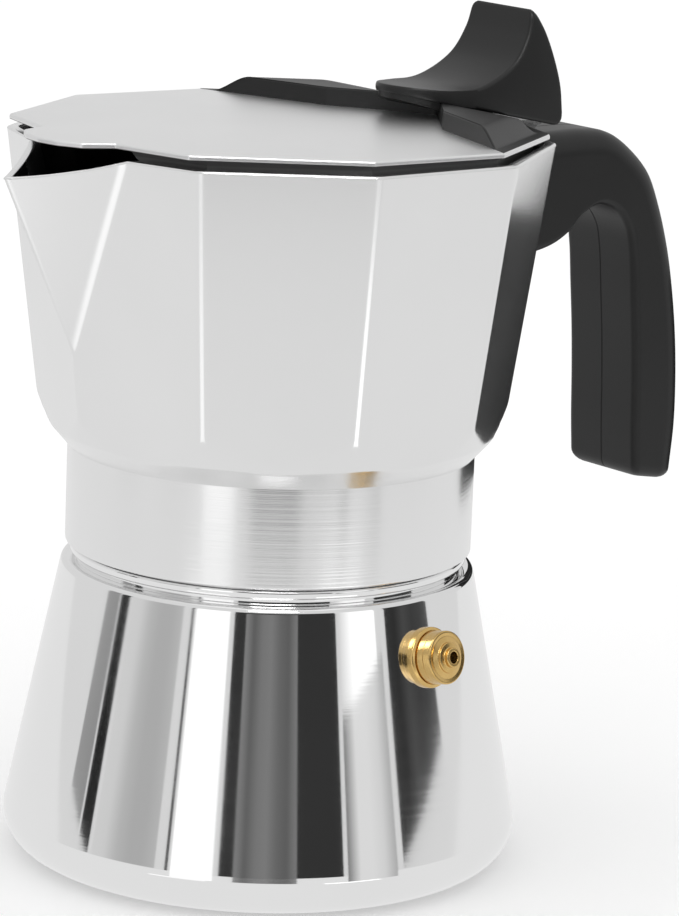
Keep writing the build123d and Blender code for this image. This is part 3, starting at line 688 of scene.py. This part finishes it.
def makeKnob():
    k = knob
    scoop = curveThrough(k["scoop"], 70)
    scoop = scoop[scoop[:, 0] > k["front"] + 0.5]
    ridge = roundedPath([scoop[-1], (57.3, 173.66), (57.9, 173.6), k["rear"][0]], [0, 0.25, 0.3, 0], 4)[1:-1]
    rear = curveThrough(k["rear"], 26)
    heel = roundedPath([rear[-1], (k["back"], k["backBottom"]), (60, knobBottom(60))], [0, 1.8, 0], 7)[1:-1]
    bottomX = np.linspace(60, k["front"] + 0.5, 30)
    bottom = np.stack([bottomX, knobBottom(bottomX)], -1)
    tipTop, tipLow = scoop[0], bottom[-1]
    a = np.linspace(0, pi, 11)[1:-1]
    middle, halfTip = (tipTop + tipLow) / 2, (tipTop[1] - tipLow[1]) / 2
    tip = np.stack([middle[0] - 0.5 * np.sin(a), middle[1] - halfTip * np.cos(a)], -1)
    ring = np.concatenate([scoop, ridge, rear, heel, bottom, tip])
    u = np.linspace(-1, 1, 61)
    turn = np.linspace(0, pi / 2, 6)
    flat = k["half"] - k["edge"]
    ys = np.concatenate([-flat - k["edge"] * np.sin(turn[:0:-1]),
                         flat * np.sign(u) * (1 - (1 - np.abs(u)) ** 1.6),
                         flat + k["edge"] * np.sin(turn[1:])])
    insets = np.concatenate([k["edge"] * (1 - np.cos(turn[:0:-1])), np.zeros(len(u)),
                             k["edge"] * (1 - np.cos(turn[1:]))])
    q = np.sqrt(np.clip(1 - (ys / k["half"]) ** 2, 0, 1))[:, None]
    drawnIn = k["shoulder"] - (k["shoulder"] - ring[:, 0]) * q
    x = np.where(ring[:, 0] < k["shoulder"], drawnIn, ring[:, 0] + 0 * q)
    topZ = np.interp(x, scoop[:, 0], scoop[:, 1])
    lowZ = knobBottom(x)
    span = np.interp(ring[:, 0], scoop[:, 0], scoop[:, 1]) - knobBottom(ring[:, 0])
    share = np.clip((ring[:, 1] - knobBottom(ring[:, 0])) / span, 0, 1)
    z = np.where(ring[:, 0] < k["shoulder"], lowZ + share * (topZ - lowZ), ring[:, 1] + 0 * q)
    # the outline is drawn in along its own normal towards each side, which rounds the long edges
    along = np.roll(ring, -1, 0) - np.roll(ring, 1, 0)
    along /= np.hypot(*along.T)[:, None]
    inward = np.where(ring[:, 0] < k["shoulder"], q, 1.0)
    x = x + insets[:, None] * along[:, 1] * inward
    z = z - insets[:, None] * along[:, 0] * np.where(ring[:, 0] < k["front"] + 1, 0.3, 1.0)
    # narrower towards the top, with its two upper corners rounded
    high = scoop[-1, 1]
    rise = np.clip((z - k["taperFrom"]) / (high - k["taperFrom"]), 0, 1)
    corner = np.clip((z - high + k["topRound"]) / k["topRound"], 0, 1)
    width = 1 - k["taper"] * rise ** 1.5 - k["topRound"] / k["half"] * (1 - np.sqrt(1 - corner ** 2)) * 0.6
    grid = np.stack([x, ys[:, None] * width, z], -1)
    piece = makePiece("lidKnob", [(grid, False, True)], 40, 0.05, fillEnds=True)
    standsFor(piece, "lid", plastic, "black_plastic", "knob")


makeKnob()
print("knob made")


# ---- handle: two halves, each a D-shaped section carried from the jug round to the end of the grip

handle = {"half": 11.0, "innerRound": 1.6, "outerRound": 5.0, "seam": 0.22, "rows": 190, "endRound": 2.6,
          "inner": [(50, 122), (58, 122.2), (64.5, 123.4), (69.3, 125.8), (72.6, 129.2), (77.8, 131.4),
                    (83, 129.8), (86.6, 125.6), (88.1, 119.6), (89.0, 111), (90.0, 101), (90.7, 91),
                    (91.2, 81), (91.8, 73.2)],
          "outer": [(50, 147), (60, 147.1), (68.5, 147.4), (75.5, 147.4), (81.5, 146.6), (87, 143.7),
                    (93.4, 137.8), (97.4, 129.8), (100.5, 120.6),
                    (102.7, 111), (104.3, 101), (105.2, 91), (105.4, 81),
                    (104.6, 71.1)],
          "screws": [(64, 134), (94.8, 118), (98.2, 82)], "pocket": 3.8, "pocketDeep": 2.6}


def makeHandle(side, name, node):
    h = handle
    inner, outer = curveThrough(h["inner"], h["rows"]), curveThrough(h["outer"], h["rows"])
    width = np.hypot(*(outer - inner).T)[:, None]
    across = (outer - inner) / width
    ri, ro, d, s = h["innerRound"], h["outerRound"], h["half"], h["seam"]
    t = np.linspace(0, pi / 2, 9)
    # each column is a start plus a share of the width, and a distance from the seam
    face = np.linspace(0, 1, 40)[1:-1]
    start = np.concatenate([[s, 0, 0, 0], ri - ri * np.cos(t), ri - face * (ri + ro),
                            -ro + ro * np.sin(t), [0, 0, 0, -s]])
    share = np.concatenate([[0] * 4, 0 * t, face, 0 * t + 1, [1] * 4])
    depth = np.concatenate([[0, s, s + 0.3, d - ri - 0.3], d - ri + ri * np.sin(t), 0 * face + d,
                            d - ro + ro * np.cos(t), [d - ro - 0.3, s + 0.3, s, 0]])
    along = start + share * width
    y = depth + 0 * along
    # the end of the grip is rounded: the last rings draw in while they move on
    x = inner[:, :1] + across[:, :1] * along
    z = inner[:, 1:] + across[:, 1:] * along
    endWay = inner[-1] - inner[-4] + outer[-1] - outer[-4]
    endWay /= np.hypot(*endWay)
    r = h["endRound"]
    tail = []
    for c in np.linspace(0, pi / 2, 7)[1:]:
        inset = r * (1 - cos(c))
        a = inset + along[-1] * (1 - 2 * inset / width[-1])
        yy = y[-1] * (1 - inset / d)
        tail.append(np.stack([inner[-1, 0] + across[-1, 0] * a + endWay[0] * r * sin(c), yy,
                              inner[-1, 1] + across[-1, 1] * a + endWay[1] * r * sin(c)], -1))
    grid = np.stack([x, y, z], -1)
    # the first ring lies on the jug's two flats, a little inside them
    corner = jug["corner"] - jug["taper"] * (jug["rim"] - grid[..., 2])
    limit = corner - grid[..., 1] * tan(pi / 10) - 0.8
    grid[..., 0] = np.maximum(grid[..., 0], limit)
    if side > 0:  # round pockets for the screw heads
        for sx, sz in h["screws"]:
            away = np.hypot(grid[..., 0] - sx, grid[..., 2] - sz)
            dish = smoothStep((h["pocket"] + 0.4 - away) / 0.8)
            sunk = np.minimum(grid[..., 1], d - h["pocketDeep"] * dish)
            grid[..., 1] = np.where(grid[..., 1] > d - 3, sunk, grid[..., 1])
    grid = np.concatenate([grid, np.array(tail)])
    hubStart, hubEnd = grid[0].mean(0), grid[-1].mean(0)
    near = grid[-1] + (hubEnd - grid[-1]) * 0.06
    grid = np.concatenate([np.broadcast_to(hubStart, grid[:1].shape), grid, near[None],
                           np.broadcast_to(hubEnd, grid[:1].shape)])
    grid = grid * [1, side, 1]
    piece = makePiece(name, [(grid, False, True)], 34)
    standsFor(piece, "jug", plastic, "black_plastic", node)


makeHandle(-1, "handleNear", "handle_left")
makeHandle(1, "handleFar", "handle_right")
print("handle made")


# ---- the pieces kept from the frame get their own finishes

kept = {
    "valve_poppet": plainMetal("poppetSteel", 0.6, 0.25),
    "valve_spring": plainMetal("springSteel", 0.55, 0.3),
    "valve_washer": fibreRed(), "valve_nut": brass,
    "funnel": plainMetal("funnelMetal", 0.78, 0.28),
    "funnel_strainer": plainMetal("strainerMetal", 0.74, 0.32),
    "gasket": plainMetal("gasketRubber", 0.78, 0.5, 0.0, 0.015),
    "filter_plate": plainMetal("plateMetal", 0.76, 0.3),
    "riser_column": plainMetal("columnMetal", 0.75, 0.34), "hinge_pin": plainMetal("pinSteel", 0.6, 0.22),
    "knob_plate": plastic, "knob_screws": plainMetal("screwSteel", 0.5, 0.3),
    "handle_screws": plainMetal("blackScrew", 0.06, 0.35),
}
for node, finish in kept.items():
    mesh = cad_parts[node].data
    mesh.materials.clear()
    mesh.materials.append(finish)
print("kept pieces finished")


# ---- stage: pale floor, white surroundings and the panels that polished metal shows

def flatFinish(name, tone, glow=0.0):
    f = Finish(name)
    soft = f.noise(3.0, 2.0)
    f.set(Roughness=0.9, Base_Color=f.blend(soft, grey(tone * 0.99), grey(tone)), Specular_IOR_Level=0.0,
          Emission_Color=grey(1.0), Emission_Strength=glow)
    return f.material


def glossyOnly(piece):
    # shows in reflections and nowhere else
    for ray in ("camera", "diffuse", "shadow", "transmission"):
        setattr(piece, "visible_" + ray, False)


def stagePiece(name, grid, finish, cameraSees):
    piece = makePiece(name, [(grid, False, False)])
    piece.data.materials.append(finish)
    if not cameraSees:
        glossyOnly(piece)
    return piece


def glowFinish():
    # each panel carries its own brightness in the attribute "tone"
    f = Finish("panelGlow")
    tone = Wire(f, f.node("ShaderNodeAttribute", {"attribute_name": "tone"}, {}).outputs["Fac"])
    f.set(Base_Color=grey(0.0), Roughness=1.0, Specular_IOR_Level=0.0, Emission_Strength=1.0,
          Emission_Color=f.blend(tone / 10.0, grey(0.0), grey(10.0)))
    return f.material


glow = glowFinish()


def panel(name, fromAngle, toAngle, low, high, radius, tones, highRadius=None):
    # part of a drum round the object, or of a flat ring, its brightness passing through the given tones
    share = np.linspace(0, 1, 33)
    a = np.radians(fromAngle + share * (toAngle - fromAngle))[None, :]
    z = np.array([[low], [high]])
    reach = np.array([[radius], [highRadius or radius]])
    grid = np.stack([reach * np.cos(a), reach * np.sin(a), z + 0 * a], -1)
    mesh = bpy.data.meshes.new(name)
    mesh.from_pydata((grid.reshape(-1, 3) * mm).tolist(), [], gridFaces(2, 33, False, False, 0).tolist())
    tone = np.tile(np.interp(share, np.linspace(0, 1, len(tones)), tones), 2)
    mesh.attributes.new("tone", "FLOAT", "POINT").data.foreach_set("value", tone.astype(np.float32))
    mesh.materials.append(glow)
    piece = bpy.data.objects.new(name, mesh)
    bpy.context.scene.collection.objects.link(piece)
    glossyOnly(piece)


floorEnds = [-6000.0, 6000.0]
floorGrid = np.stack(np.meshgrid(floorEnds, floorEnds, indexing="ij") + [np.zeros((2, 2))], -1)
floor = stagePiece("floor", floorGrid, flatFinish("paleFloor", 0.985, 0.05), True)
floor.visible_glossy = False

world = bpy.data.worlds.new("studio")
bpy.context.scene.world = world
world.use_nodes = True
world.node_tree.nodes["Background"].inputs["Color"].default_value = (1, 1, 1, 1)
world.node_tree.nodes["Background"].inputs["Strength"].default_value = 1.0

# name, first and last angle, lowest and highest point, radius, tones
panels = [
    ("surround", 0, 360, -60, 3000, 1500, [0.76, 0.76]),
    ("leftEdge", 140, 149, 5, 240, 600, [0.34, 0.3]),
    ("leftStripe", 150, 156, 5, 240, 600, [0.02]),
    ("leftScreen", 158, 189, 5, 240, 600, [0.7, 0.68, 0.52, 0.46, 0.46, 0.52]),
    ("thinStripe", 193.5, 194.8, -10, 240, 600, [0.08]),
    ("softboxLeft", 196, 214, -90, 240, 600, [1.25]),
    ("darkFront", 216.5, 269, -5, 240, 600, [0.035]),
    ("greyFront", 222.5, 249, -40, 150, 580, [0.26, 0.12, 0.2, 0.22, 0.15, 0.12, 0.23]),
    ("softboxRight", 271, 294, -90, 95, 600, [0.2, 0.8, 0.8, 0.72, 0.45]),
    ("softboxRightTop", 271, 291, 95, 240, 600, [0.8, 1.25, 1.25, 1.25]),
    ("darkRight", 297, 326, 22, 240, 600, [0.04, 0.03, 0.07, 0.05, 0.06, 0.1]),
    ("behindHandle", -8, 30, 50, 110, 150, [0.02]),
    ("highCard", 222, 252, 520, 1150, 600, [7.0]),
    ("cornerLightFront", 260, 284, -57, -57, 240, [1.5], 470),
    ("cornerLightLeft", 188, 212, -57, -57, 240, [1.2], 470),
]
for row in panels:
    panel(*row)
ground = stagePiece("ground", floorGrid - [0, 0, 60], glow, False)
ground.data.attributes.new("tone", "FLOAT", "POINT").data.foreach_set("value", np.full(4, 0.85, np.float32))
print("stage made")


# ---- camera

shot = {"distance": 860.84, "azimuth": -37.92, "height": 273.24, "yaw": 0.0164, "pitch": 0.2174,
        "roll": 0.0395, "lens": 168.4}


def makeCamera():
    yaw, pitch, roll, turn = shot["yaw"], shot["pitch"], shot["roll"], radians(shot["azimuth"])
    ahead = np.array([sin(yaw) * cos(pitch), cos(yaw) * cos(pitch), -sin(pitch)])
    right = np.array([cos(yaw), -sin(yaw), 0])
    up = np.cross(right, ahead)
    right, up = cos(roll) * right + sin(roll) * up, -sin(roll) * right + cos(roll) * up
    spin = np.array([[cos(turn), -sin(turn), 0], [sin(turn), cos(turn), 0], [0, 0, 1]])
    place = spin @ [0, -shot["distance"], shot["height"]]
    camera = bpy.data.objects.new("camera", bpy.data.cameras.new("camera"))
    bpy.context.scene.collection.objects.link(camera)
    axes = Matrix([list(spin @ right), list(spin @ up), list(spin @ -ahead)]).transposed().to_4x4()
    camera.matrix_world = Matrix.Translation(Vector(place * mm)) @ axes
    camera.data.lens = shot["lens"]
    camera.data.clip_start = 0.05
    bpy.context.scene.camera = camera


makeCamera()
bpy.context.scene.view_settings.view_transform = "Standard"
print("camera set")
